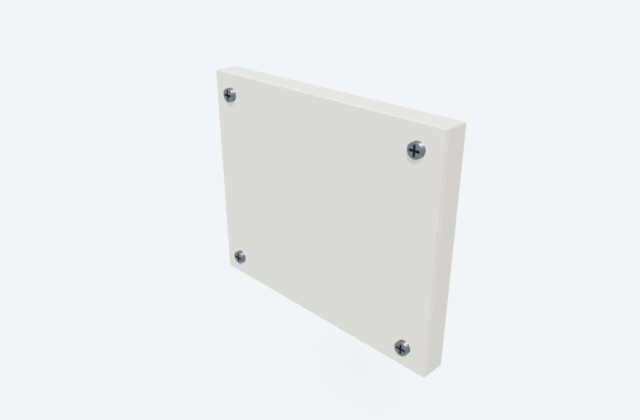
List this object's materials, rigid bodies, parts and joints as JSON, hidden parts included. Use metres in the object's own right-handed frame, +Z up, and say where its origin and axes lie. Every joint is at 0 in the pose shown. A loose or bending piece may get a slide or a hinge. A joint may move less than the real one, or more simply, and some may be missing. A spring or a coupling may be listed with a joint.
{
  "type": "enclosure lid",
  "caption": "Moulded rectangular enclosure lid with a raised front panel, a seal in a channel behind it and captive cheese-head screws in its corners.",
  "frame": {"origin": "centre of the screw pattern, in the plane of the lid's rear rim, where the box meets it", "axes": "+X to the right seen from the front, +Y backwards into the box, so the front face looks towards -Y, +Z up"},
  "size_m": [0.11, 0.018, 0.09],
  "materials": {
    "lid_plastic": "fine spark-eroded moulding texture, warm light grey",
    "seal_rubber": "smooth extruded rubber, black",
    "screw_steel": "dull blue-grey plated steel",
    "ring_nylon": "natural nylon"
  },
  "bodies": {
    "root": {"lid_moulding": "lid_plastic", "seal": "seal_rubber", "screw_top_left": "screw_steel", "screw_top_right": "screw_steel", "screw_bottom_left": "screw_steel", "screw_bottom_right": "screw_steel", "retaining_ring_top_left": "ring_nylon", "retaining_ring_top_right": "ring_nylon", "retaining_ring_bottom_left": "ring_nylon", "retaining_ring_bottom_right": "ring_nylon"}
  },
  "joints": []
}
